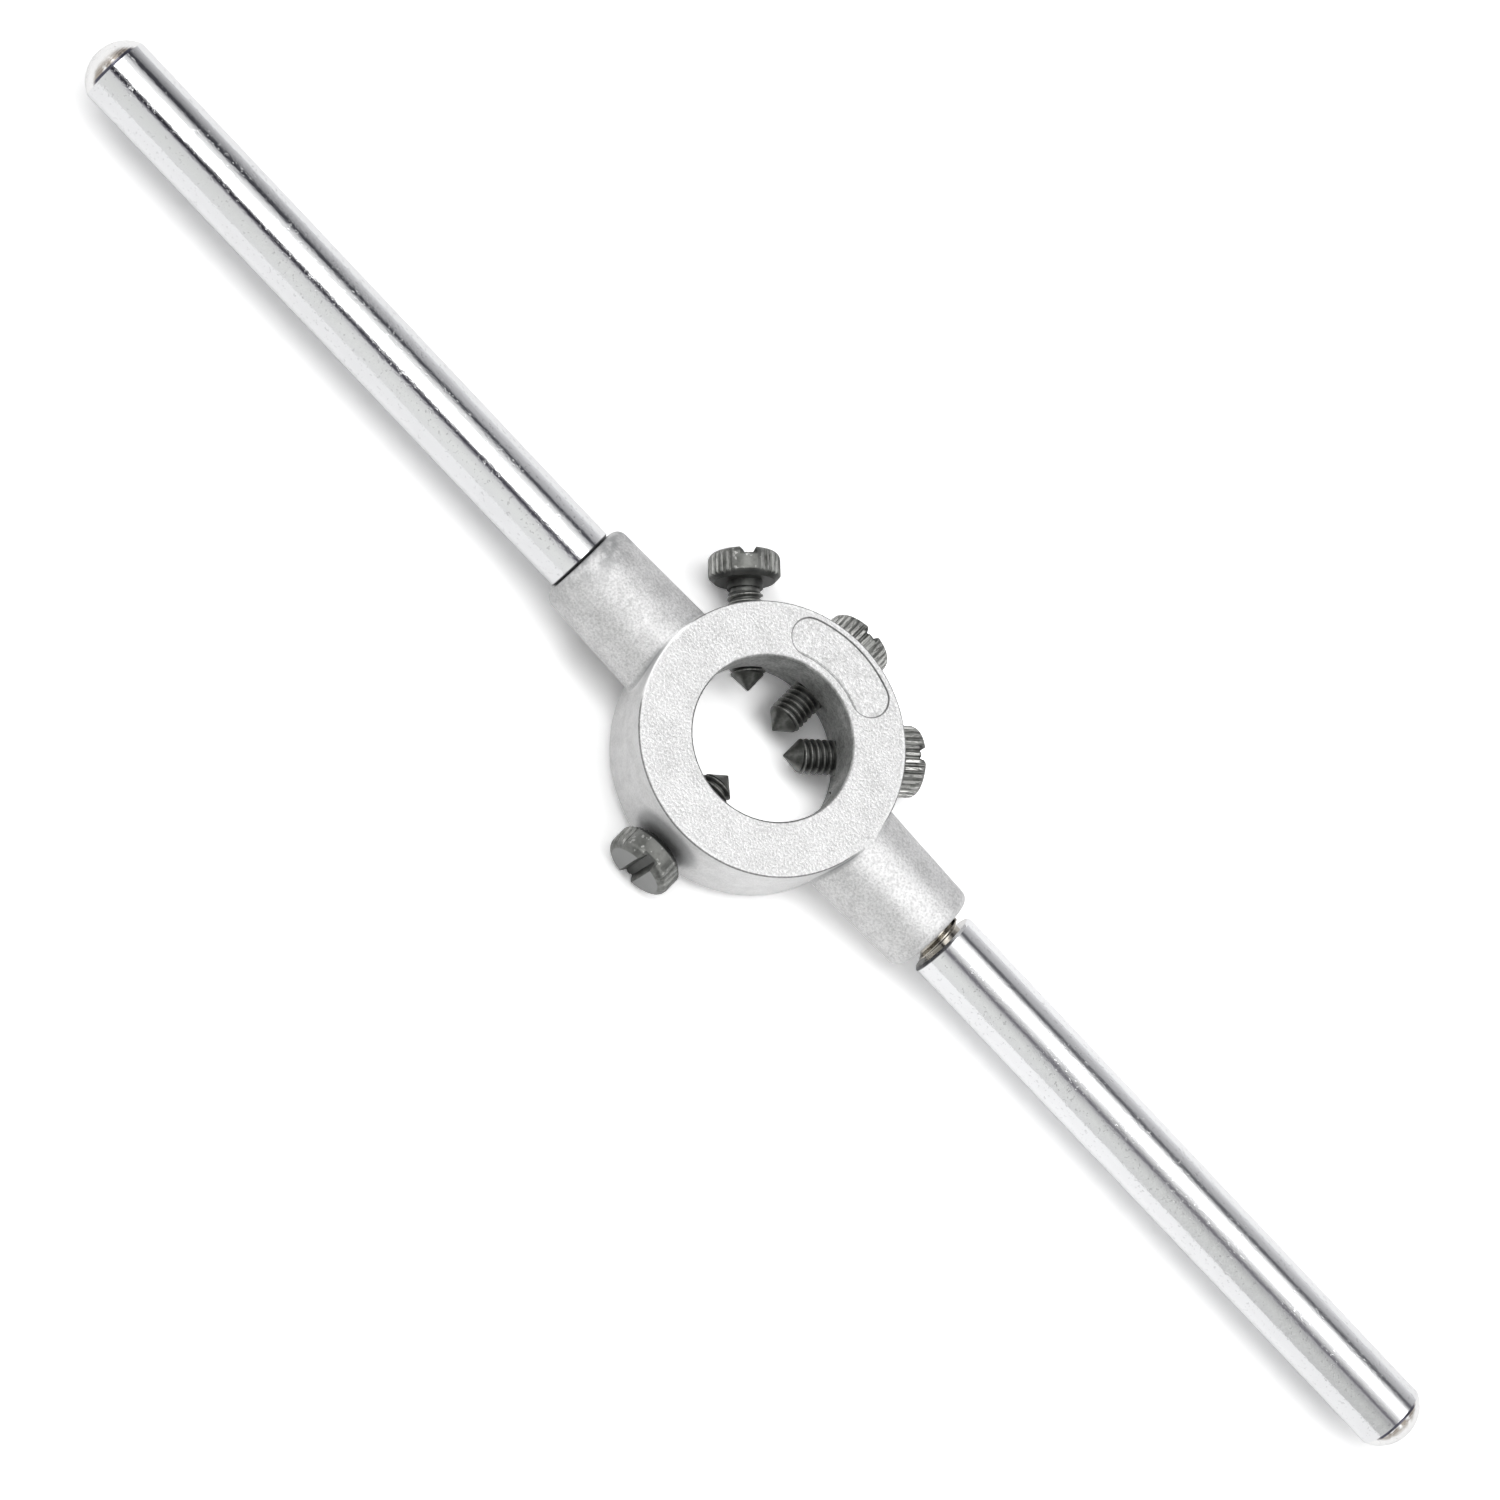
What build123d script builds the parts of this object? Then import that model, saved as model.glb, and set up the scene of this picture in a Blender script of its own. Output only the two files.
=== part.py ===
from build123d import *
from math import atan2, cos, pi, sin, sqrt
import os

# Die that the stock holds
die_diameter = 20.0
die_thickness = 5.0
die_side_gap = 0.05

# Ring of the cast body, centred on the seat plane of the die
lip_thickness = 5.0
lip_bore_diameter = 18.0
ring_diameter = 30.0
ring_edge_radius = 0.15
ring_spare_height = 3.0
pocket_mouth_chamfer = 0.4
lip_mouth_chamfer = 0.2

# Curved, round-ended panel sunk into the upper face of the ring
panel_inner_radius = 9.95
panel_outer_radius = 14.3
panel_middle_angle = 91
panel_arc_angle = 43.5
panel_depth = 0.15

# Tapered arms of the cast body
arm_reach = 27.3
arm_width_at_ring = 11.7
arm_width_at_end = 10.9
arm_depth = 9.96
arm_end_radius = 1.2
arm_root_radius = 0.4
arm_overlap_in_ring = 3.5

# Handles
handle_diameter = 8.0
handle_length = 70.9
handle_cap_height = 2.6
handle_shoulder_chamfer = 0.3
stub_thread_diameter = 6.0
stub_length = 15.0
stub_lead_chamfer = 0.8
stub_relief_length = 0.35
stub_relief_depth = 0.5
right_handle_backed_out = 1.3
socket_spare_depth = 1.0
socket_pilot_diameter = 5.0

# Knurled screws
screw_thread_diameter = 4.0
screw_length = 12.0
screw_height_above_pocket_mouth = die_thickness / 2
screw_cone_length = 1.7
screw_cone_base_diameter = 3.5
screw_tip_diameter = 0.2
screw_lead_length = 0.2
screw_neck_length = 0.8
screw_relief_length = 0.5
screw_relief_diameter = 3.3
head_diameter = 7.8
head_thickness = 3.2
head_edge_radius = 0.9
head_underside_chamfer = 0.6
knurl_ridges = 30
knurl_depth = 0.28
knurl_crest_share = 0.36
knurl_root_share = 0.2
slot_top_width = 1.9
slot_bottom_width = 0.9
slot_depth = 0.85

# Angle of each screw round the ring, in degrees from the right handle
clamp_screw_left_angle = 135
adjusting_screw_angle = 90
clamp_screw_right_angle = 45
clamp_screw_lower_angle = -90

# How far the underside of each screw's head stands off the ring's wall
clamp_screw_left_stand_off = 3.9
adjusting_screw_stand_off = 0.8
clamp_screw_right_stand_off = 0.8
clamp_screw_lower_stand_off = 0.6

# How many ridges of its knurl each screw is turned by, from having its slot upright
clamp_screw_left_ridges_turned = -1
adjusting_screw_ridges_turned = 0
clamp_screw_right_ridges_turned = 0
clamp_screw_lower_ridges_turned = 0

# Clearance between each plain thread and its plain hole, on the radius
thread_gap = 0.05

# How closely an edge lies on the ring's wall to be taken as one of its edges
edge_tolerance = 0.01

# Each screw: angle round the ring, stand-off, ridges turned
screws = {
    "clamp_screw_left": (
        clamp_screw_left_angle,
        clamp_screw_left_stand_off,
        clamp_screw_left_ridges_turned,
    ),
    "adjusting_screw": (
        adjusting_screw_angle,
        adjusting_screw_stand_off,
        adjusting_screw_ridges_turned,
    ),
    "clamp_screw_right": (
        clamp_screw_right_angle,
        clamp_screw_right_stand_off,
        clamp_screw_right_ridges_turned,
    ),
    "clamp_screw_lower": (
        clamp_screw_lower_angle,
        clamp_screw_lower_stand_off,
        clamp_screw_lower_ridges_turned,
    ),
}

# Sizes that follow from the ones above
ring_radius = ring_diameter / 2
pocket_radius = die_diameter / 2 + die_side_gap
body_height = die_thickness + lip_thickness
body_top = lip_thickness
body_foot = -die_thickness
arm_axis_height = (body_top + body_foot) / 2
socket_depth = stub_length + socket_spare_depth
screw_axis_height = body_foot + screw_height_above_pocket_mouth
arm_taper = (arm_width_at_ring - arm_width_at_end) / (arm_reach - ring_radius)


# A section of an arm, square to the handles
def arm_section(x):
    width = arm_width_at_ring - arm_taper * (x - ring_radius)
    across = Plane(origin=(x, 0, arm_axis_height), x_dir=(0, 1, 0), z_dir=(1, 0, 0))
    return across * Ellipse(width / 2, arm_depth / 2)


# One arm on the +X side, with its outer end rounded
def arm():
    root = arm_section(ring_radius - arm_overlap_in_ring)
    tip = arm_section(arm_reach)
    blank = loft([root, tip])
    return fillet(blank.edges().sort_by(Axis.X)[-1], arm_end_radius)


# The seams where the arms run into the round wall of the ring
def arm_seams(body):
    def on_wall(edge):
        samples = [edge @ share for share in (0.0, 0.3, 0.6, 1.0)]
        misses = [abs(sqrt(p.X**2 + p.Y**2) - ring_radius) for p in samples]
        return max(misses) < edge_tolerance

    return [e for e in body.edges() if e.geom_type != GeomType.CIRCLE and on_wall(e)]


# The solid outer form of the casting: a tall ring and both arms blended, then faced to height
def outer_form():
    middle = Location((0, 0, arm_axis_height))
    form = middle * Cylinder(ring_radius, body_height + 2 * ring_spare_height)
    form += arm()
    form += mirror(arm(), Plane.YZ)
    form = fillet(arm_seams(form), arm_root_radius)
    form &= middle * Box(2 * arm_reach + ring_diameter, 2 * ring_diameter, body_height)
    rims = form.faces().sort_by(Axis.Z)
    return fillet(rims[0].edges() + rims[-1].edges(), ring_edge_radius)


# The sunk panel, following the ring above the three neighbouring screws
def sunk_panel():
    start = panel_middle_angle - panel_arc_angle / 2
    middle_radius = (panel_inner_radius + panel_outer_radius) / 2
    course = CenterArc((0, 0), middle_radius, start, panel_arc_angle)
    outline = SlotArc(course, panel_outer_radius - panel_inner_radius)
    return extrude(Location((0, 0, body_top)) * outline, -panel_depth)


# The stepped bore: the lip's through hole above, the die pocket below
def stepped_bore():
    lip_radius = lip_bore_diameter / 2
    half = [
        (0, body_foot),
        (pocket_radius + pocket_mouth_chamfer, body_foot),
        (pocket_radius, body_foot + pocket_mouth_chamfer),
        (pocket_radius, 0),
        (lip_radius, 0),
        (lip_radius, body_top - lip_mouth_chamfer),
        (lip_radius + lip_mouth_chamfer, body_top),
        (0, body_top),
    ]
    return revolve(Plane.XZ * make_face(Polyline(half, close=True)), Axis.Z)


# The hole for a handle on the +X side: thread depth first, then the pilot drilled on to the pocket
def handle_socket():
    along = Plane(origin=(arm_reach, 0, arm_axis_height), z_dir=(-1, 0, 0))
    to_floor = (Align.CENTER, Align.CENTER, Align.MIN)
    thread = along * Cylinder(stub_thread_diameter / 2, socket_depth, align=to_floor)
    pilot = along * Cylinder(socket_pilot_diameter / 2, arm_reach, align=to_floor)
    return thread + pilot


# The hole for a screw, from the ring's axis out through the wall
def screw_hole(angle):
    outwards = Vector(cos(angle * pi / 180), sin(angle * pi / 180), 0)
    along = Plane(origin=(0, 0, screw_axis_height), z_dir=outwards)
    to_floor = (Align.CENTER, Align.CENTER, Align.MIN)
    return along * Cylinder(screw_thread_diameter / 2, ring_diameter, align=to_floor)


def cast_body():
    body = outer_form() - stepped_bore() - sunk_panel()
    body -= handle_socket()
    body -= mirror(handle_socket(), Plane.YZ)
    for angle, _, _ in screws.values():
        body -= screw_hole(angle)
    return body


# A handle along +X with its shoulder at the origin and its stub on the -X side
def handle():
    grip = handle_diameter / 2
    stub = stub_thread_diameter / 2 - thread_gap
    neck = stub - stub_relief_depth
    cap_radius = (grip**2 + handle_cap_height**2) / (2 * handle_cap_height)
    cap_start = Vector(handle_length, grip)
    cap_end = Vector(handle_length + handle_cap_height, 0)
    cap_centre = handle_length + handle_cap_height - cap_radius
    half_way = atan2(grip, cap_radius - handle_cap_height) / 2
    cap_middle = Vector(cap_centre + cap_radius * cos(half_way), cap_radius * sin(half_way))
    outline = Polyline(
        (-stub_length, 0),
        (-stub_length, stub - stub_lead_chamfer),
        (-stub_length + stub_lead_chamfer, stub),
        (-stub_relief_length, stub),
        (-stub_relief_length, neck),
        (0, neck),
        (0, grip - handle_shoulder_chamfer),
        (handle_shoulder_chamfer, grip),
        cap_start,
    )
    cap = ThreePointArc(cap_start, cap_middle, cap_end)
    axis_line = Line(cap_end, (-stub_length, 0))
    return revolve(make_face(outline + cap + axis_line), Axis.X)


# The turned blank of a screw along +X, with its point at the origin
def screw_blank():
    thread = screw_thread_diameter / 2 - thread_gap
    cone_base = screw_cone_base_diameter / 2
    relief_start = screw_length - screw_neck_length - screw_relief_length
    outline = Polyline(
        (0, 0),
        (0, screw_tip_diameter / 2),
        (screw_cone_length, cone_base),
        (screw_cone_length + screw_lead_length, thread),
        (relief_start, thread),
        (relief_start, screw_relief_diameter / 2),
        (relief_start + screw_relief_length, screw_relief_diameter / 2),
        (relief_start + screw_relief_length, thread),
        (screw_length, thread),
        (screw_length, 0),
        close=True,
    )
    return revolve(make_face(outline), Axis.X)


# The outline of the knurl, with a ridge pointing along +Z and -Z
def knurl_outline():
    crest = head_diameter / 2
    root = crest - knurl_depth
    pitch = 2 * pi / knurl_ridges
    points = []
    for ridge in range(knurl_ridges):
        middle = ridge * pitch + pi / 2
        for radius, turn in (
            (crest, -knurl_crest_share / 2),
            (crest, knurl_crest_share / 2),
            (root, 0.5 - knurl_root_share / 2),
            (root, 0.5 + knurl_root_share / 2),
        ):
            angle = middle + turn * pitch
            points.append((radius * cos(angle), radius * sin(angle)))
    return make_face(Polyline(points, close=True))


# The knurled head: a rounded disc cut to the knurl's outline, less the slot
def screw_head():
    across = Plane(origin=(screw_length, 0, 0), x_dir=(0, 1, 0), z_dir=(1, 0, 0))
    outer_face = screw_length + head_thickness
    to_floor = (Align.CENTER, Align.CENTER, Align.MIN)
    disc = across * Cylinder(head_diameter / 2, head_thickness, align=to_floor)
    rims = disc.edges().filter_by(GeomType.CIRCLE).sort_by(Axis.X)
    disc = fillet(rims[-1], head_edge_radius)
    rims = disc.edges().filter_by(GeomType.CIRCLE).sort_by(Axis.X)
    disc = chamfer(rims[0], head_underside_chamfer)
    knurled = disc & extrude(across * knurl_outline(), head_thickness)
    slot = Polyline(
        (outer_face, -slot_top_width / 2),
        (outer_face - slot_depth, -slot_bottom_width / 2),
        (outer_face - slot_depth, slot_bottom_width / 2),
        (outer_face, slot_top_width / 2),
        close=True,
    )
    return knurled - extrude(make_face(slot), head_diameter, both=True)


def screw():
    return screw_blank() + screw_head()


# A screw in its hole, its head standing off the ring's wall and turned as given
def placed_screw(angle, stand_off, ridges_turned):
    turned = Rotation(ridges_turned * 360 / knurl_ridges, 0, 0)
    slide_in = Location((ring_radius + stand_off - screw_length, 0, screw_axis_height))
    return Rotation(0, 0, angle) * slide_in * turned * screw()


def placed_handles():
    seat = Location((arm_reach, 0, arm_axis_height))
    backed_out = Location((arm_reach + right_handle_backed_out, 0, arm_axis_height))
    left = mirror(seat * handle(), Plane.YZ)
    right = backed_out * handle()
    return left, right


def build():
    left, right = placed_handles()
    pieces = {"cast_body": cast_body(), "handle_left": left, "handle_right": right}
    for name, placing in screws.items():
        pieces[name] = placed_screw(*placing)
    return pieces


os.makedirs("parts", exist_ok=True)
for name, piece in build().items():
    export_step(piece, f"parts/{name}.step")
    print(name, round(piece.volume, 1), "mm3")
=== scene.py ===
from math import atan2, cos, degrees, hypot, pi, radians, sin

import bmesh
import bpy
from mathutils import Matrix, Vector


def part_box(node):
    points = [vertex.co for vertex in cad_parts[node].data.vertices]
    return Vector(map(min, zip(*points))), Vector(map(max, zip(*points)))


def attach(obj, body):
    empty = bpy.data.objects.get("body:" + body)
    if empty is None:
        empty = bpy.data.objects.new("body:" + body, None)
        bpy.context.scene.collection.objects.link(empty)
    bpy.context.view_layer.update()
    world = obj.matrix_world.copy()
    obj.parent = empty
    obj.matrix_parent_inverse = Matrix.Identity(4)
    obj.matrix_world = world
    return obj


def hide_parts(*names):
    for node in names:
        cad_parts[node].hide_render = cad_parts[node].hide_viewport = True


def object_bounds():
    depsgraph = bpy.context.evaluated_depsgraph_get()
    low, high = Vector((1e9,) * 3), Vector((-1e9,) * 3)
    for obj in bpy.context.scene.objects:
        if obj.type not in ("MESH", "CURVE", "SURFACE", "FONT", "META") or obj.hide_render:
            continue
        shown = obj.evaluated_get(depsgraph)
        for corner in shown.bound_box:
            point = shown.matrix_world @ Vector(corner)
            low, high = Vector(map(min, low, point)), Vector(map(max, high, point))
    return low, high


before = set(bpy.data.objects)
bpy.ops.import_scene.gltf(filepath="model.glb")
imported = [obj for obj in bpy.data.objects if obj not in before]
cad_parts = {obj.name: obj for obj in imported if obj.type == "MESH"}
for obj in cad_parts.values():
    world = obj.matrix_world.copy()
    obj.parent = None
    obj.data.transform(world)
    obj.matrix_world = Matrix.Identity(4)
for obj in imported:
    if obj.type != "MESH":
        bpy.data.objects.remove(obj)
cad_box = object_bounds()

# The camera looks down on the lip side of the stock from half a metre, leaning towards the lower screw.
# It is rolled so that the handles run from the upper left of the frame to the lower right.
view_target = Vector((-0.000429, -0.000544, -0.0005))
view_distance = 0.5405
view_lean = radians(23.830)
view_bearing = radians(258.716)
view_roll = radians(44.606)
lens_length = 122.05

towards_camera = Vector((
    sin(view_lean) * cos(view_bearing),
    sin(view_lean) * sin(view_bearing),
    cos(view_lean),
))
level_right = Vector((0, 1, 0)).cross(towards_camera).normalized()
level_up = towards_camera.cross(level_right)
level_axes = Matrix((level_right, level_up, towards_camera)).transposed()
camera_axes = level_axes @ Matrix.Rotation(view_roll, 3, "Z")
camera = bpy.data.objects.new("camera", bpy.data.cameras.new("camera"))
camera.data.lens = lens_length
camera.matrix_world = Matrix.Translation(view_target + towards_camera * view_distance) @ camera_axes.to_4x4()
bpy.context.scene.collection.objects.link(camera)
bpy.context.scene.camera = camera


# The studio round the stock: a long soft light overhead, pale screens in front and behind, and dark gaps
# that polished handles show as bands. Angles are in degrees from overhead, towards the three screws. The
# left set is met a little to the left, the right set a little to the right, and the middle set elsewhere.
overhead_strength = 2.73
studio_bands_left = [
    (-180, (0.305, 0.305, 0.305)),
    (-96, (0.300, 0.300, 0.300)),
    (-88, (0.280, 0.282, 0.280)),
    (-60, (0.268, 0.271, 0.265)),
    (-52, (0.262, 0.264, 0.260)),
    (-42, (0.250, 0.251, 0.250)),
    (-38, (0.225, 0.225, 0.227)),
    (-35, (0.125, 0.124, 0.130)),
    (-31, (0.030, 0.028, 0.035)),
    (-28, (0.008, 0.008, 0.010)),
    (-25, (0.008, 0.008, 0.010)),
    (-21, (0.060, 0.059, 0.063)),
    (-18, (0.25, 0.25, 0.25)),
    (-14, (1.0, 1.0, 1.0)),
    (14, (1.0, 1.0, 1.0)),
    (17, (0.46, 0.46, 0.46)),
    (20, (0.36, 0.36, 0.36)),
    (25, (0.32, 0.32, 0.32)),
    (32, (0.25, 0.25, 0.25)),
    (37, (0.14, 0.14, 0.145)),
    (41, (0.020, 0.020, 0.023)),
    (52, (0.020, 0.020, 0.023)),
    (57, (0.075, 0.075, 0.078)),
    (63, (0.110, 0.110, 0.113)),
    (72, (0.145, 0.145, 0.148)),
    (86, (0.220, 0.220, 0.224)),
    (94, (0.280, 0.280, 0.284)),
    (180, (0.305, 0.305, 0.305)),
]
studio_bands_middle = [
    (-180, (0.305, 0.305, 0.305)),
    (-96, (0.305, 0.305, 0.305)),
    (-88, (0.298, 0.300, 0.298)),
    (-60, (0.300, 0.303, 0.297)),
    (-52, (0.284, 0.286, 0.282)),
    (-42, (0.262, 0.263, 0.262)),
    (-38, (0.235, 0.235, 0.237)),
    (-35, (0.140, 0.139, 0.146)),
    (-31, (0.044, 0.042, 0.050)),
    (-28, (0.020, 0.019, 0.024)),
    (-25, (0.030, 0.029, 0.034)),
    (-21, (0.135, 0.134, 0.138)),
    (-18, (0.29, 0.29, 0.29)),
    (-14, (1.0, 1.0, 1.0)),
    (14, (1.0, 1.0, 1.0)),
    (17, (0.46, 0.46, 0.46)),
    (20, (0.36, 0.36, 0.36)),
    (25, (0.32, 0.32, 0.32)),
    (32, (0.25, 0.25, 0.25)),
    (37, (0.14, 0.14, 0.145)),
    (41, (0.030, 0.030, 0.034)),
    (48, (0.030, 0.030, 0.034)),
    (52, (0.120, 0.120, 0.124)),
    (58, (0.160, 0.160, 0.164)),
    (70, (0.190, 0.190, 0.194)),
    (86, (0.270, 0.270, 0.275)),
    (94, (0.305, 0.305, 0.305)),
    (180, (0.305, 0.305, 0.305)),
]
studio_bands_right = [
    (-180, (0.305, 0.305, 0.305)),
    (-88, (0.298, 0.300, 0.298)),
    (-60, (0.300, 0.303, 0.297)),
    (-50, (0.270, 0.272, 0.268)),
    (-42, (0.235, 0.236, 0.236)),
    (-38, (0.200, 0.200, 0.202)),
    (-35, (0.145, 0.144, 0.149)),
    (-31, (0.078, 0.076, 0.083)),
    (-28, (0.064, 0.062, 0.069)),
    (-24, (0.110, 0.108, 0.114)),
    (-19, (0.180, 0.180, 0.180)),
    (-14, (0.25, 0.25, 0.25)),
    (-7, (0.34, 0.34, 0.34)),
    (-3, (0.45, 0.45, 0.45)),
    (2, (1.0, 1.0, 1.0)),
    (22, (1.0, 1.0, 1.0)),
    (26, (0.46, 0.46, 0.46)),
    (29, (0.41, 0.41, 0.41)),
    (33, (0.32, 0.32, 0.32)),
    (37, (0.195, 0.195, 0.198)),
    (41, (0.100, 0.100, 0.104)),
    (45, (0.046, 0.046, 0.050)),
    (49, (0.048, 0.048, 0.052)),
    (53, (0.112, 0.112, 0.115)),
    (58, (0.160, 0.160, 0.164)),
    (70, (0.190, 0.190, 0.194)),
    (86, (0.270, 0.270, 0.275)),
    (94, (0.305, 0.305, 0.305)),
    (180, (0.305, 0.305, 0.305)),
]
left_bands_in = (-0.015, -0.080)
left_bands_out = (-0.70, -0.45)
right_bands_in = (0.03, 0.13)
right_bands_out = (0.70, 0.45)
end_screen_colour = (0.35, 0.35, 0.35, 1)
end_screen_starts = 0.80
end_screen_full = 0.97
front_starts = -36
front_full = -40
front_dims_from = 0.10
front_dims_to = 0.36
front_dimming = 0.45


class Wire:
    """One output of a shader node, worked with as a number."""

    def __init__(self, socket):
        self.socket = socket

    def node(self, kind, settings, inputs, output=0):
        tree = self.socket.id_data
        made = tree.nodes.new(kind)
        for name, value in settings.items():
            if name == "stops":
                for place, _ in value[1:-1]:
                    made.color_ramp.elements.new(place)
                for stop, (place, colour) in zip(made.color_ramp.elements, value):
                    stop.position = place
                    stop.color = (*colour, 1)
            else:
                setattr(made, name, value)
        for name, value in inputs.items():
            if isinstance(value, Wire):
                tree.links.new(value.socket, made.inputs[name])
            else:
                made.inputs[name].default_value = value
        return Wire(made.outputs[output])

    def maths(self, operation, *values):
        return self.node("ShaderNodeMath", {"operation": operation}, dict(enumerate(values)))

    def __add__(self, other):
        return self.maths("ADD", self, other)

    def __sub__(self, other):
        return self.maths("SUBTRACT", self, other)

    def __rsub__(self, other):
        return self.maths("SUBTRACT", other, self)

    def __mul__(self, other):
        return self.maths("MULTIPLY", self, other)

    def __truediv__(self, other):
        return self.maths("DIVIDE", self, other)

    def __pow__(self, other):
        return self.maths("POWER", self, other)

    def __abs__(self):
        return self.maths("ABSOLUTE", self)

    __radd__ = __add__
    __rmul__ = __mul__

    def rise(self, low, high):
        """0 up to low, 1 from high, and a smooth climb between; high may be under low for a fall."""
        limits = {"Value": self, "From Min": low, "From Max": high}
        return self.node("ShaderNodeMapRange", {"interpolation_type": "SMOOTHSTEP"}, limits)

    def blend(self, first, second):
        """The first colour where this is 0, the second where it is 1."""
        return self.node("ShaderNodeMix", {"data_type": "RGBA"}, {0: self, 6: first, 7: second}, 2)

    def part(self, axis):
        return self.node("ShaderNodeSeparateXYZ", {}, {0: self}, axis)

    def into(self, shader, socket):
        shader.id_data.links.new(self.socket, shader.inputs[socket])


studio = bpy.data.worlds.new("studio")
studio.use_nodes = True
bpy.context.scene.world = studio
studio_light = studio.node_tree.nodes["Background"]
way = Wire(studio.node_tree.nodes.new("ShaderNodeTexCoord").outputs["Generated"])
turn = way.maths("ARCTAN2", way.part("Y"), way.part("Z")) / (2 * pi) + 0.5
left_bands, middle_bands, right_bands = (
    turn.node(
        "ShaderNodeValToRGB",
        {"stops": [(angle / 360 + 0.5, colour) for angle, colour in stops]},
        {"Fac": turn},
    )
    for stops in (studio_bands_left, studio_bands_middle, studio_bands_right)
)
to_the_left = way.part("X").rise(*left_bands_in) * way.part("X").rise(*left_bands_out)
to_the_right = way.part("X").rise(*right_bands_in) * way.part("X").rise(*right_bands_out)
bands = to_the_right.blend(to_the_left.blend(middle_bands, left_bands), right_bands)
front = turn.rise(front_starts / 360 + 0.5, front_full / 360 + 0.5)
dimmed = way.part("X").rise(front_dims_from, front_dims_to) * front * front_dimming
bands = dimmed.blend(bands, (0, 0, 0, 1))
to_the_ends = abs(way.part("X")).rise(end_screen_starts, end_screen_full)
to_the_ends.blend(bands, end_screen_colour).into(studio_light, "Color")
studio_light.inputs["Strength"].default_value = overhead_strength
backdrop = way.node("ShaderNodeBackground", {}, {"Color": (1, 1, 1, 1), "Strength": 1})
seen = Wire(studio.node_tree.nodes.new("ShaderNodeLightPath").outputs["Is Camera Ray"])
sky = seen.node("ShaderNodeMixShader", {}, {0: seen, 1: Wire(studio_light.outputs[0]), 2: backdrop})
sky.into(studio.node_tree.nodes["World Output"], "Surface")


# The white floor that the stock lies on. The camera sees it whiter than it is for the light, and light and
# shade are painted on it where its shadows fall. Places on it are in metres from the ring's axis.
floor_height = cad_box[0].z
floor_half_width = 1.5
floor_seen = 1.25
floor_mirrored = 0.86
floor_lit = 0.85
toning_when_mirrored = 0.5
painted_light_inside_ring = 0.40
inside_ring_middle = (-0.0015, 0.0010)
inside_ring_flattening = 0.77
inside_ring_edge = (0.0095, 0.0065)
points_edge = (0.0040, 0.0062)
painted_light_left_of_points = 0.50
left_of_points_edge = (-0.0030, -0.0050)
painted_shade_by_points = 0.60
by_points_edge = (-0.0035, -0.0018)
painted_light_by_right_handle = 0.19
right_handle_near = (-0.010, 0.006)
right_handle_far = (0.125, 0.045)
painted_shade_by_left_arm = 0.20
left_arm_far = (-0.0245, -0.0195)
left_arm_near = (-0.008, -0.014)
left_arm_lower = (-0.0085, -0.0050)
left_arm_upper = (0.006, 0.002)

floor_form = bmesh.new()
bmesh.ops.create_grid(floor_form, x_segments=1, y_segments=1, size=floor_half_width)
bmesh.ops.translate(floor_form, verts=floor_form.verts, vec=(0, 0, floor_height))
floor_mesh = bpy.data.meshes.new("floor")
floor_form.to_mesh(floor_mesh)
floor_form.free()
floor = bpy.data.objects.new("floor", floor_mesh)
bpy.context.scene.collection.objects.link(floor)

floor_white = bpy.data.materials.new("floor_white")
floor_white.use_nodes = True
floor_mesh.materials.append(floor_white)
rays = floor_white.node_tree.nodes.new("ShaderNodeLightPath")
matt_white = floor_white.node_tree.nodes.new("ShaderNodeBsdfDiffuse")
on_floor = Wire(floor_white.node_tree.nodes.new("ShaderNodeTexCoord").outputs["Object"])
along_floor, across_floor = on_floor.part("X"), on_floor.part("Y")
# Painted light inside the ring, most to the left of the screws' points, and painted shade beside the points
from_middle = (along_floor - inside_ring_middle[0]) * inside_ring_flattening
from_centre = (from_middle**2 + (across_floor - inside_ring_middle[1]) ** 2) ** 0.5
left_of_points = along_floor.rise(*left_of_points_edge) * painted_light_left_of_points
by_points = left_of_points - along_floor.rise(*by_points_edge) * painted_shade_by_points
inside_ring = across_floor.rise(*points_edge) * by_points + painted_light_inside_ring
inside_ring = from_centre.rise(*inside_ring_edge) * inside_ring
# Painted light on the floor beside the right handle, and painted shade beside the left arm
by_right_handle = along_floor.rise(*right_handle_near) * along_floor.rise(*right_handle_far)
by_right_handle = by_right_handle * painted_light_by_right_handle
by_left_arm = along_floor.rise(*left_arm_far) * along_floor.rise(*left_arm_near)
by_left_arm = by_left_arm * across_floor.rise(*left_arm_lower) * across_floor.rise(*left_arm_upper)
side_to_side = by_right_handle - by_left_arm * painted_shade_by_left_arm + 1
seen = Wire(rays.outputs["Is Camera Ray"]) * (side_to_side * floor_seen - floor_lit)
side_in_mirrors = side_to_side * toning_when_mirrored + (1 - toning_when_mirrored)
mirrored = Wire(rays.outputs["Is Glossy Ray"]) * (side_in_mirrors * floor_mirrored - floor_lit)
((seen + mirrored + floor_lit) * (inside_ring + 1)).into(matt_white, "Color")
Wire(matt_white.outputs[0]).into(floor_white.node_tree.nodes["Material Output"], "Surface")


# The body is one zinc die casting, tumbled so that its skin is pale and finely grained.
# Ring, arms and lip are the casting's own; the bore, sockets and screw holes are cut into it.
zinc_pale = (0.84, 0.838, 0.838, 1)
zinc_shaded = (0.50, 0.499, 0.498, 1)
zinc_top_pale = (0.80, 0.798, 0.797, 1)
zinc_top_shaded = (0.48, 0.479, 0.478, 1)
zinc_bright_and_highlight = (0.95, 0.95, 0.95, 1)
zinc_painted_dark = (0.15, 0.15, 0.15, 1)
zinc_bored_in_shade = (0.58, 0.585, 0.58, 1)
zinc_bored_shaded = (0.27, 0.275, 0.27, 1)
zinc_smudge_and_shade = (0.38, 0.385, 0.39, 1)
socket_shade = (0.06, 0.06, 0.06, 1)
zinc_roughness = 0.56
zinc_top_roughness = 0.40
top_height = 5.0
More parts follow.
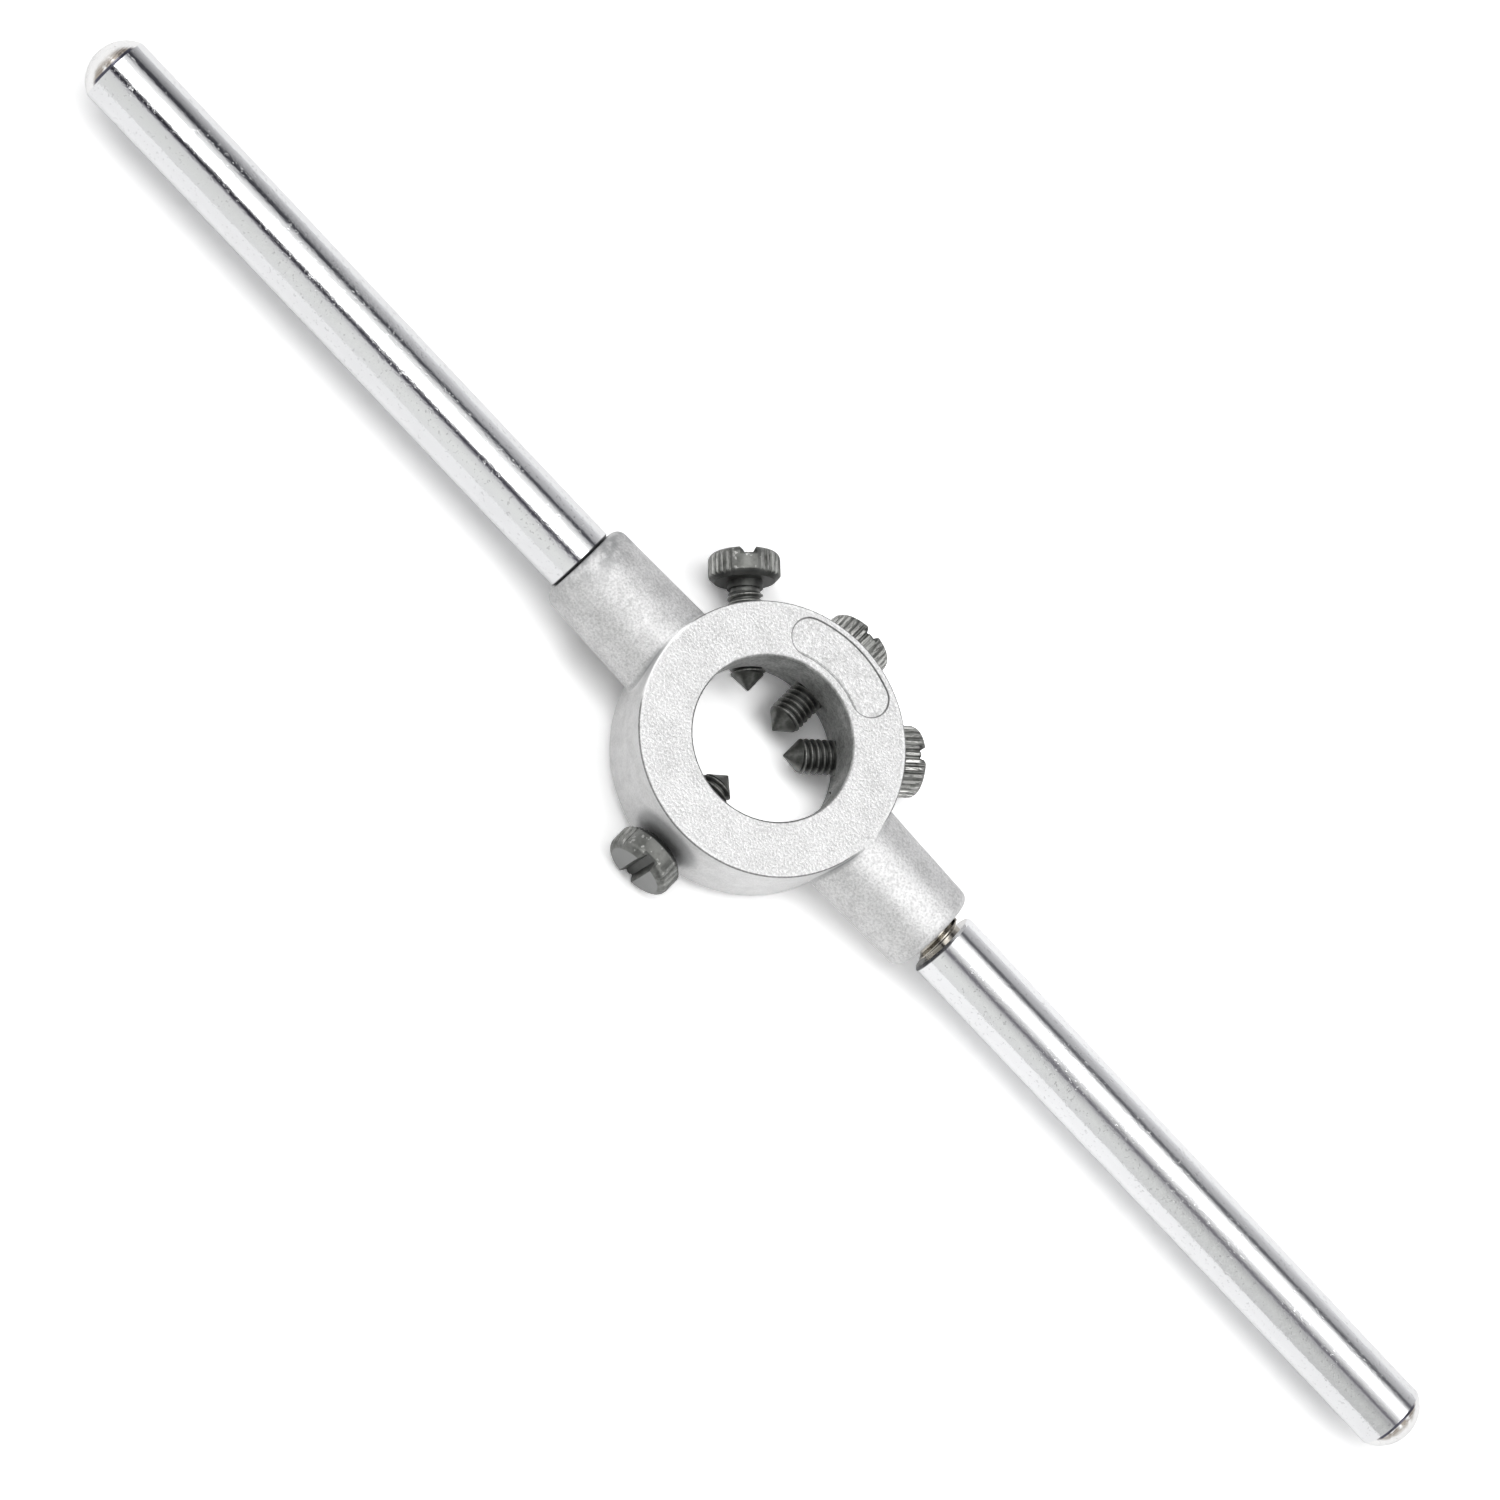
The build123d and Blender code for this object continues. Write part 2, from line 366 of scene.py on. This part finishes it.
bored_radius = 10.2
socket_radius = 3.05
arm_end = 27.3
panel_middle = radians(91)
panel_half_arc = radians(43.5 / 2)
panel_course_radius = 12.125
panel_half_width = 2.175
panel_line_half_width = 0.08
panel_line_softness = 0.04


def finish(name, turn=(0, 0, 0), centre=(0, 0, 0), **gloss):
    """A new material, its surface shader, and the place of each point in millimetres."""
    material = bpy.data.materials.new(name)
    material.use_nodes = True
    surface = material.node_tree.nodes["Principled BSDF"]
    for socket, value in gloss.items():
        surface.inputs[socket.replace("_", " ")].default_value = value
    place = Wire(material.node_tree.nodes.new("ShaderNodeTexCoord").outputs["Object"])
    measured = {"Vector": place, "Scale": (1000, 1000, 1000), "Rotation": turn, "Location": centre}
    return material, surface, place.node("ShaderNodeMapping", {}, measured)


def speckle(place, grains_per_mm, detail=2, roughness=0.5):
    """Soft random speckle from 0 to 1."""
    settings = {"Vector": place, "Scale": grains_per_mm, "Detail": detail, "Roughness": roughness}
    return place.node("ShaderNodeTexNoise", {}, settings)


def relief(height, distance, strength=1.0, under=None):
    """Bumps of the given height in millimetres, on top of those underneath."""
    settings = {"Height": height, "Distance": distance / 1000, "Strength": strength}
    if under:
        settings["Normal"] = under
    return height.node("ShaderNodeBump", {}, settings)


cast_zinc, zinc_skin, place = finish("tumbled_zinc", Metallic=1.0)
along, across, height = place.part("X"), place.part("Y"), place.part("Z")
out_from_axis = (along**2 + across**2) ** 0.5
grain = speckle(place, 3.6, detail=3, roughness=0.65)
dust = speckle(place, 9, detail=2, roughness=0.5)
clouds = speckle(place, 0.5, detail=4, roughness=0.6)
on_top = height.rise(top_height - 0.30, top_height - 0.17) * out_from_axis.rise(15.4, 14.8)

# Sandy tone: cloudy everywhere, with grains that stand out most on the upper face
wall_calm = 1 - out_from_axis.rise(15.3, 15.0) * (1 - on_top) * 0.6
sandy = grain.rise(0.42, 0.66) * 0.42 + dust.rise(0.4, 0.7) * 0.30
shade = clouds.rise(0.30, 0.75) * 0.30 + sandy * wall_calm
# The upper face has tones of its own, paler or darker than the walls' and arms' as the light falls on each:
# painted light and shade
tone = on_top.blend(shade.blend(zinc_pale, zinc_shaded), shade.blend(zinc_top_pale, zinc_top_shaded))
tone = (grain.rise(0.44, 0.34) * (0.30 + on_top * 0.40) * wall_calm).blend(tone, zinc_bright_and_highlight)

# The rounded rim of the ring: a painted dark reflection on the very edge, bright patches just inside it that
# are partly wear and partly painted highlight, and a painted highlight on the rim beside the left arm's crown
to_left = along.rise(0, -10)
away_from_crowns = (abs(across + to_left * 2.7) - to_left * 2.4).rise(1.8, 3.4)
rubbed_edge_and_highlight = out_from_axis.rise(14.50, 14.66) * on_top * clouds.rise(0.46, 0.60) * 0.4
tone = rubbed_edge_and_highlight.blend(tone, zinc_bright_and_highlight)
edge_dark_reflection = out_from_axis.rise(14.84, 14.90) * height.rise(4.72, 4.82)
edge_dark_reflection = edge_dark_reflection * away_from_crowns * (0.50 + grain * 0.5)
tone = edge_dark_reflection.blend(tone, zinc_painted_dark)
rim_highlight_by_left_arm = out_from_axis.rise(14.72, 14.82) * out_from_axis.rise(15.04, 14.99) * height.rise(4.55, 4.72)
tone = (rim_highlight_by_left_arm * (1 - away_from_crowns) * to_left * 0.8).blend(tone, zinc_bright_and_highlight)

# The thin dark edge all round the sunk panel, painted shade in its step
round_the_ring = across.maths("ARCTAN2", across, along)
nearest = round_the_ring.maths("MINIMUM", round_the_ring, panel_middle + panel_half_arc)
nearest = nearest.maths("MAXIMUM", nearest, panel_middle - panel_half_arc)
course_along = nearest.maths("COSINE", nearest) * panel_course_radius
course_across = nearest.maths("SINE", nearest) * panel_course_radius
off_course = ((along - course_along) ** 2 + (across - course_across) ** 2) ** 0.5
panel_line = abs(off_course - panel_half_width)
panel_line_edge = (panel_line_half_width + panel_line_softness, panel_line_half_width - panel_line_softness)
panel_line = panel_line.rise(*panel_line_edge)
tone = (panel_line * on_top * (0.55 + clouds * 0.5)).blend(tone, zinc_painted_dark)

# A smudge at the outer end of the left arm, and a nick where the right arm's crown meets the ring
from_left_arm_end = abs(along + arm_end - 0.6).rise(3.4, 0.4)
smudge = from_left_arm_end * (0.30 + across.rise(-4.5, 1.5) * 0.40) * (0.4 + clouds.rise(0.42, 0.58) * 0.9)
nick = ((along - 14.55) ** 2 + (across * 1.6) ** 2).rise(0.09, 0.02) * height.rise(4.7, 4.8)
tone = (smudge * 0.8 + nick * 0.5).blend(tone, zinc_smudge_and_shade)

# Painted shade in the creases where the arms run into the ring's wall and in the corners beside them, and a
# painted shadow of the lower screw's head round its hole
crease = out_from_axis.rise(15.04, 15.14) * out_from_axis.rise(15.75, 15.30)
crease = crease * height.rise(-2.0, 2.0) * height.rise(4.9, 4.5) * (0.35 + across.rise(1.0, -1.5) * 0.65)
corner = out_from_axis.rise(14.92, 14.98) * out_from_axis.rise(15.30, 15.20) * height.rise(1.5, 3.5)
corner = corner * across.rise(-7.5, -4.0) * across.rise(-0.6, -1.8)
head_shadow = ((along + 0.1) ** 2 + (height + 0.2) ** 2) ** 0.5
head_shadow = head_shadow.rise(4.7, 3.3) * across.rise(-13.0, -14.0)
tone = (crease * 0.6 + corner * 0.45 + head_shadow * 0.65).blend(tone, zinc_smudge_and_shade)

# Painted highlight on the crown of the right arm and on the wall beside it, and painted shade on the wall to
# the left
crown_highlight = along.rise(14.8, 16.5) * across.rise(1.8, 0.4) * across.rise(-3.6, -2.0) * height.rise(3.0, 4.0)
crown_highlight = crown_highlight * (0.50 - grain.rise(0.45, 0.60) * 0.30)
wall = out_from_axis.rise(14.90, 14.97) * out_from_axis.rise(15.10, 15.04) * height.rise(4.8, 4.5)
wall = wall * across.rise(-4.0, -8.0)
tone = (crown_highlight + wall * along.rise(2, 12) * 0.28).blend(tone, zinc_bright_and_highlight)
tone = (wall * along.rise(0, -8) * 0.20).blend(tone, zinc_shaded)

# Cut surfaces: the stepped bore, mottled at random and darkened as painted shade in the hollow, and the
# sockets, painted near black as shade inside the holes
bored = out_from_axis.rise(bored_radius + 0.05, bored_radius - 0.05)
bored = bored * height.rise(top_height - 0.05, top_height - 0.12)
reamed = clouds.rise(0.35, 0.65) * 0.5 + grain.rise(0.35, 0.65) * 0.5
tone = bored.blend(tone, reamed.blend(zinc_bored_in_shade, zinc_bored_shaded))
in_socket = ((across**2 + height**2) ** 0.5).rise(socket_radius, socket_radius - 0.05)
in_socket = in_socket * out_from_axis.rise(9.02, 9.10) * abs(along).rise(arm_end - 0.02, arm_end - 0.1)
in_socket.blend(tone, socket_shade).into(zinc_skin, "Base Color")
roughness = zinc_roughness - on_top * (zinc_roughness - zinc_top_roughness)
(roughness + grain * 0.14).into(zinc_skin, "Roughness")
sand = relief(grain, 0.08, 0.80 + on_top * 0.20)
relief(dust, 0.020, 0.7, sand).into(zinc_skin, "Normal")
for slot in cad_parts["cast_body"].material_slots:
    slot.material = cast_zinc


# The two handles are turned from steel bar and chrome plated: a plain grip with a domed outer end,
# and a threaded stub that screws into the arm. Both threads are right hand.
chrome_pale = (0.885, 0.89, 0.90, 1)
chrome_dull = (0.70, 0.70, 0.71, 1)
cap_pale = (0.96, 0.955, 0.95, 1)
cap_brown = (0.30, 0.25, 0.20, 1)
cap_rim_dark_reflection = (0.10, 0.10, 0.13, 1)
seam_dark = (0.03, 0.03, 0.035, 1)
stub_steel = (0.45, 0.425, 0.38, 1)
chrome_roughness = 0.045
handle_length = 0.0709
cap_height = 0.0026
shoulder_chamfer = 0.0003
grip_steps = 160
grip_crease = radians(15)
stub_pitch = 0.001
stub_lead = 0.0008
stub_relief = 0.00035
stub_neck = 0.0005
neck_steps = 64
stub_under_grip = 0.00105
thread_depth_share = 0.541
thread_flank_starts = 0.25
thread_crest_starts = 0.5625
thread_crest_ends = 0.6875
thread_steps = 48
cap_turning_marks = 38
cap_rim = (3.80, 3.88)
stain_near_rim = (2.9, 3.7)
upper_side_up = 0.934
upper_side_across = 0.358
upper_side_from = (2.6, 3.2)


def turned(outline, steps):
    """A solid of revolution about X from an outline that starts and ends on the axis."""
    form = bmesh.new()
    points = [form.verts.new((x, radius, 0)) for x, radius in outline]
    edges = [form.edges.new(pair) for pair in zip(points, points[1:])]
    bmesh.ops.spin(
        form,
        geom=points + edges,
        cent=(0, 0, 0),
        axis=(1, 0, 0),
        angle=2 * pi,
        steps=steps,
        use_merge=True,
        use_duplicate=False,
    )
    bmesh.ops.remove_doubles(form, verts=form.verts, dist=1e-7)
    bmesh.ops.recalc_face_normals(form, faces=form.faces)
    return form


def wound_thread(start, end, crest, pitch, lead):
    """A right-hand thread along X: one pitch of its outline wound round the axis, cut square at both ends."""
    root = crest - pitch * thread_depth_share
    turns = int((end - start) / pitch) + 3
    first = start - 1.5 * pitch
    outline = [
        (0, root),
        (thread_flank_starts, root),
        (thread_crest_starts, crest),
        (thread_crest_ends, crest),
        (1, root),
    ]
    form = bmesh.new()
    points = [form.verts.new((first + share * pitch, radius, 0)) for share, radius in outline]
    edges = [form.edges.new(pair) for pair in zip(points, points[1:])]
    bmesh.ops.spin(
        form,
        geom=points + edges,
        cent=(0, 0, 0),
        axis=(1, 0, 0),
        dvec=(pitch / thread_steps, 0, 0),
        angle=2 * pi * turns,
        steps=thread_steps * turns,
        use_merge=False,
        use_duplicate=False,
    )
    bmesh.ops.remove_doubles(form, verts=form.verts, dist=1e-7)
    for vertex in form.verts:
        radius = hypot(vertex.co.y, vertex.co.z)
        allowed = crest - lead + max(0, vertex.co.x - start)
        if radius > allowed:
            vertex.co.y *= allowed / radius
            vertex.co.z *= allowed / radius
    for cut, way_out in ((start, -1), (end, 1)):
        bmesh.ops.bisect_plane(
            form,
            geom=form.verts[:] + form.edges[:] + form.faces[:],
            plane_co=(cut, 0, 0),
            plane_no=(way_out, 0, 0),
            clear_outer=True,
        )
    bmesh.ops.holes_fill(form, edges=[edge for edge in form.edges if edge.is_boundary])
    bmesh.ops.recalc_face_normals(form, faces=form.faces)
    return form


def piece(name, forms, crease):
    """One object from several closed forms, with its creases kept sharp."""
    whole = bmesh.new()
    for form in forms:
        passing = bpy.data.meshes.new("passing")
        form.to_mesh(passing)
        form.free()
        whole.from_mesh(passing)
        bpy.data.meshes.remove(passing)
    mesh = bpy.data.meshes.new(name)
    whole.to_mesh(mesh)
    whole.free()
    if "custom_normal" in mesh.attributes:
        mesh.attributes.remove(mesh.attributes["custom_normal"])
    mesh.shade_smooth()
    mesh.set_sharp_from_angle(angle=crease)
    made = bpy.data.objects.new(name, mesh)
    bpy.context.scene.collection.objects.link(made)
    return made


def handle_forms(grip_radius, stub_length):
    """The grip and the threaded stub along X, with the shoulder at the origin."""
    cap_radius = (grip_radius**2 + cap_height**2) / (2 * cap_height)
    cap_centre = handle_length + cap_height - cap_radius
    cap_turn = atan2(grip_radius, cap_radius - cap_height)
    cap_points = 24
    cap = [
        (cap_centre + cap_radius * cos(cap_turn * share / cap_points),
         cap_radius * sin(cap_turn * share / cap_points))
        for share in range(cap_points, 0, -1)
    ]
    stub_radius = grip_radius - stub_under_grip
    grip = turned(
        [
            (0, 0),
            (0, grip_radius - shoulder_chamfer),
            (shoulder_chamfer, grip_radius),
            *cap,
            (handle_length + cap_height, 0),
        ],
        grip_steps,
    )
    neck = turned(
        [
            (-2 * stub_relief, 0),
            (-2 * stub_relief, stub_radius - stub_neck),
            (stub_relief, stub_radius - stub_neck),
            (stub_relief, 0),
        ],
        neck_steps,
    )
    thread = wound_thread(-stub_length, -stub_relief, stub_radius, stub_pitch, stub_lead)
    return [grip, neck, thread]


def chrome_plate(name, cap_way, shoulder, seam_fades_above):
    """Chrome on the grip, turned steel on the cap and the stub; the cap is towards cap_way along X.
    The shoulder's chamfer is painted dark, as shade in the gap by the arm, and fades out past the last
    argument across the handle."""
    material, surface, place = finish(name, Metallic=1.0)
    outwards = place.part("X") * cap_way
    radius = (place.part("Y") ** 2 + place.part("Z") ** 2) ** 0.5
    drawn = place.node("ShaderNodeMapping", {}, {"Vector": place, "Scale": (0.5, 1.0, 1.0)})
    waves = speckle(drawn, 1.1, detail=1, roughness=0.5)
    ripples = speckle(drawn, 3.2, detail=3, roughness=0.6)
    haze = speckle(place, 0.18, detail=2, roughness=0.6)
    rougher = haze.rise(0.42, 0.60)
    pits = speckle(place, 2.6, detail=2, roughness=0.55).rise(0.62, 0.68)
    cap_start = (shoulder + handle_length) * 1000
    on_cap = outwards.rise(cap_start - 0.01, cap_start + 0.02)
    on_stub = outwards.rise(shoulder * 1000 + 0.02, shoulder * 1000 - 0.02)
    rings = place.maths("SINE", radius * cap_turning_marks) * 0.5 + 0.5
    dull = pits * 0.7 + haze.rise(0.4, 0.8) * 0.15
    tone = dull.blend(chrome_pale, chrome_dull)
    tone = on_cap.blend(tone, cap_pale)
    upper_part = (place.part("Z") * upper_side_up - place.part("Y") * upper_side_across).rise(*upper_side_from)
    rust = radius.rise(*stain_near_rim) * upper_part * speckle(place, 0.9, detail=3).rise(0.40, 0.58)
    tone = (on_cap * rust * 0.85).blend(tone, cap_brown)
    # A painted dark reflection along the cap's rim on its upper side
    tone = (on_cap * radius.rise(*cap_rim) * upper_part).blend(tone, cap_rim_dark_reflection)
    # Painted shade on the shoulder's chamfer, in the gap by the arm
    seam = outwards.rise(shoulder * 1000 + 0.42, shoulder * 1000 + 0.26)
    tone = (seam * place.part("Y").rise(seam_fades_above + 1.5, seam_fades_above) * 0.9).blend(tone, seam_dark)
    on_stub.blend(tone, stub_steel).into(surface, "Base Color")
    (chrome_roughness + pits * 0.2 + haze * 0.02 + on_cap * 0.16 + on_stub * 0.12).into(surface, "Roughness")
    wavy = relief(waves, 0.0090, 1.0)
    rippled = relief(ripples, 0.016, 0.45 + rougher * 0.55, wavy)
    pitted = relief(1 - pits, 0.012, rougher, rippled)
    relief(rings * on_cap, 0.010, 1.0, pitted).into(surface, "Normal")
    return material


grip_radius = 0.004
for side, facing, seam_fades_above in (("left", -1, 4.0), ("right", 1, -1.0)):
    name = f"handle_{side}"
    low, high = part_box(name)
    reach = max(abs(low.x), abs(high.x))
    stub_length = high.x - low.x - handle_length - cap_height
    shoulder = reach - handle_length - cap_height
    placing = Matrix.Translation((facing * shoulder, 0, 0)) @ Matrix.Rotation(0 if facing > 0 else pi, 4, "Z")
    forms = handle_forms(grip_radius, stub_length)
    for form in forms:
        bmesh.ops.transform(form, matrix=placing, verts=form.verts)
    handle = piece(f"{name}_turned", forms, crease=grip_crease)
    handle.data.materials.append(chrome_plate(f"chrome_{side}", facing, shoulder, seam_fades_above))
    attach(handle, f"{name}_body")
    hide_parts(name)


# The four screws are turned and cold headed in steel, then blackened: knurled head with a slot,
# a fine thread with a relief under the neck, and a cone point that bites on the die.
black_pale = (0.27, 0.273, 0.262, 1)
black_dark = (0.115, 0.118, 0.110, 1)
black_worn_and_highlight = (0.58, 0.58, 0.56, 1)
black_in_shade = (0.055, 0.057, 0.054, 1)
face_grey = (0.30, 0.303, 0.30, 1)
screw_axis_height = -0.0025
screw_length = 0.012
head_thickness = 0.0032
head_radius = 0.0039
head_edge_radius = 0.0009
head_chamfer = 0.0006
knurl_root_radius = 0.00362
knurl_cuts = (0.0126, 0.0134, 0.0142, 0.01455, 0.0148)
shallow_steepness = 8
shank_radius = 0.00195
thread_starts = 0.0017
thread_ends = 0.01072
screw_pitch = 0.0007
thread_lead = 0.0002
thread_overlap = 0.00001
screw_crease = radians(30)
edge_rounding = 0.00007

# Where the finish changes, in millimetres: from the point along the screw, or out from its axis
head_starts = (11.9, 12.1)
face_height = (15.12, 15.18)
face_edge = (3.25, 3.05)
ridge_tops = (3.72, 3.88)
thread_shows_from = (1.65, 1.75)
thread_shows_to = (11.0, 10.7)
thread_tops = (1.84, 1.94)
thread_bottoms = (1.78, 1.60)
slot_sides = (0.98, 0.90)
slot_bottom = (14.1, 14.3)
slot_mouth = (15.0, 14.4)
neck_shade_from = (10.7, 11.2)
neck_shade_to = (12.75, 12.3)

# Each screw: bearing, how far its head stands off the ring, turn of its slot from upright, how far the
# ridges of its knurl are rubbed bright, and the stretches of its rim where the knurl is shallow, as middle,
# half width and share filled. Turns and stretches are in degrees about the screw, from the top of the head
# towards its left side seen from outside.
screw_looks = {
    "clamp_screw_left": (135, 0.0039, -12, 0.45, [(-14, 30, 0.98), (60, 20, 0.5)]),
    "adjusting_screw": (90, 0.0008, 0, 1.3, [(-35, 14, 0.5), (8, 12, 0.7)]),
    "clamp_screw_right": (45, 0.0008, 0, 1.2, [(-35, 20, 0.6)]),
    "clamp_screw_lower": (-90, 0.0006, 0, 0.3, [(8, 50, 0.98), (-70, 16, 0.5)]),
}


def kept_ends(node, placing):
    """The cone point and the head of a screw from the CAD, without the plain shank between them."""
    ends = []
    for cut, way_out in ((thread_starts + thread_overlap, 1), (thread_ends - thread_overlap, -1)):
        form = bmesh.new()
        form.from_mesh(node.data)
        bmesh.ops.remove_doubles(form, verts=form.verts, dist=1e-6)
        bmesh.ops.bisect_plane(
            form,
            geom=form.verts[:] + form.edges[:] + form.faces[:],
            plane_co=placing @ Vector((cut, 0, 0)),
            plane_no=placing.to_3x3() @ Vector((way_out, 0, 0)),
            clear_outer=True,
        )
        bmesh.ops.holes_fill(form, edges=[edge for edge in form.edges if edge.is_boundary])
        ends.append(form)
    return ends


def rim_radius(x):
    """The radius of the head's plain disc at x along the screw, with its edge rounding and its chamfer."""
    rounding_starts = screw_length + head_thickness - head_edge_radius
    if x > rounding_starts:
        rise = max(0, head_edge_radius**2 - (x - rounding_starts) ** 2) ** 0.5
        return head_radius - head_edge_radius + rise
    return min(head_radius, head_radius - head_chamfer + x - screw_length)


def fill_knurl(head, placing, shallow):
    """Lift the floor of the knurl's grooves towards its ridges along the given stretches of the rim."""
    for cut in knurl_cuts:
        bmesh.ops.bisect_plane(
            head,
            geom=head.verts[:] + head.edges[:] + head.faces[:],
            plane_co=placing @ Vector((cut, 0, 0)),
            plane_no=placing.to_3x3() @ Vector((1, 0, 0)),
        )
    back = placing.inverted()
    for vertex in head.verts:
        here = back @ vertex.co
        radius = hypot(here.y, here.z)
        if radius < knurl_root_radius - 0.00002:
            continue
        angle = degrees(atan2(-here.y, here.z))
        filled = 0
        for middle, half_width, share in shallow:
            nearness = max(0, 1 - (abs(angle - middle) / half_width) ** shallow_steepness)
            filled = max(filled, share * nearness)
        wanted = radius + max(0, rim_radius(here.x) - radius) * filled
        here.y *= wanted / radius
        here.z *= wanted / radius
        vertex.co = placing @ here


def black_oxide(name, bearing, point_distance, slot_turn, rubbing, shallow):
    """Oiled black oxide, paler on the flat of the head and rubbed on the ridges of the knurl, with painted
    glints on the rim's smooth stretches, painted highlights on the thread's crests, and painted shade in the
    thread's roots, under the head and in the slot.
    """
    material, surface, place = finish(
        name,
        turn=(0, 0, -bearing),
        centre=(-point_distance * 1000, 0, -screw_axis_height * 1000),
        Metallic=0.9,
    )
    blotches = speckle(place, 0.9, detail=4, roughness=0.6)
    fine = speckle(place, 6.0, detail=2, roughness=0.5)
    pressed = place.node("ShaderNodeMapping", {}, {"Vector": place, "Scale": (0.22, 1.0, 1.0)})
    streaks = speckle(pressed, 5.0, detail=2, roughness=0.6)
    from_point = place.part("X")
    radius = (place.part("Y") ** 2 + place.part("Z") ** 2) ** 0.5
    on_head = from_point.rise(*head_starts)
    on_face = from_point.rise(*face_height) * radius.rise(*face_edge)
    round_screw = place.maths("ARCTAN2", place.part("Y") * -1, place.part("Z"))
    knurled = on_head
    for middle, half_width, share in shallow:
        nearness = abs(round_screw - radians(middle)).rise(radians(half_width), radians(half_width * 0.6))
        knurled = knurled * (1 - nearness * share)
    rubbed = radius.rise(*ridge_tops) * streaks.rise(0.38, 0.56) * knurled * rubbing
    # Painted glints on the smooth stretches of the rim
    glint_flecks = speckle(place, 1.6, detail=3).rise(0.60, 0.68) * (on_head - knurled) * radius.rise(3.3, 3.6)
    tone = blotches.rise(0.3, 0.7).blend(black_dark, black_pale)
    tone = ((on_head - knurled) * 0.5).blend(tone, black_dark)
    # The thread's crests are partly rubbed and partly carry a painted highlight; its roots carry painted
    # shade
    on_thread = from_point.rise(*thread_shows_from) * from_point.rise(*thread_shows_to)
    tone = (radius.rise(*thread_tops) * streaks.rise(0.30, 0.60) * on_thread * 0.55).blend(tone, black_worn_and_highlight)
    tone = (radius.rise(*thread_bottoms) * on_thread * 0.6).blend(tone, black_in_shade)
    tone = (rubbed * 0.9 + glint_flecks * 0.6).blend(tone, black_worn_and_highlight)
    tone = on_face.blend(tone, face_grey)
    upright = place.node("ShaderNodeMapping", {}, {"Vector": place, "Rotation": (-slot_turn, 0, 0)})
    in_slot = abs(upright.part("Y")).rise(*slot_sides) * from_point.rise(*slot_bottom)
    in_slot = in_slot * from_point.rise(*slot_mouth)
    # Painted shade under the head round the neck, and in the slot
    under_head = from_point.rise(*neck_shade_from) * from_point.rise(*neck_shade_to)
    shaded_parts = under_head.maths("MAXIMUM", under_head, in_slot)
    (shaded_parts * 0.85).blend(tone, black_in_shade).into(surface, "Base Color")
    (0.30 + blotches * 0.14 + fine * 0.08 - rubbed * 0.10 + on_face * 0.10).into(surface, "Roughness")
    rounded = place.node("ShaderNodeBevel", {"samples": 4}, {"Radius": edge_rounding})
    rough = relief(fine, 0.010, 0.6, rounded)
    relief(streaks * knurled, 0.018, 0.7, rough).into(surface, "Normal")
    return material


ring_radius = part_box("cast_body")[1].y
for name, (degrees_round, stand_off, slot_turn, rubbing, shallow) in screw_looks.items():
    bearing = radians(degrees_round)
    point_distance = ring_radius + stand_off - screw_length
    placing = (
        Matrix.Rotation(bearing, 4, "Z")
        @ Matrix.Translation((point_distance, 0, screw_axis_height))
    )
    thread = wound_thread(thread_starts, thread_ends, shank_radius, screw_pitch, thread_lead)
    bmesh.ops.transform(thread, matrix=placing, verts=thread.verts)
    point, head = kept_ends(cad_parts[name], placing)
    fill_knurl(head, placing, shallow)
    screw = piece(f"{name}_threaded", [point, head, thread], crease=screw_crease)
    oxide = black_oxide(f"black_oxide_{name}", bearing, point_distance, radians(slot_turn), rubbing, shallow)
    screw.data.materials.append(oxide)
    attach(screw, f"{name}_body")
    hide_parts(name)


bpy.context.scene.view_settings.view_transform = "Standard"
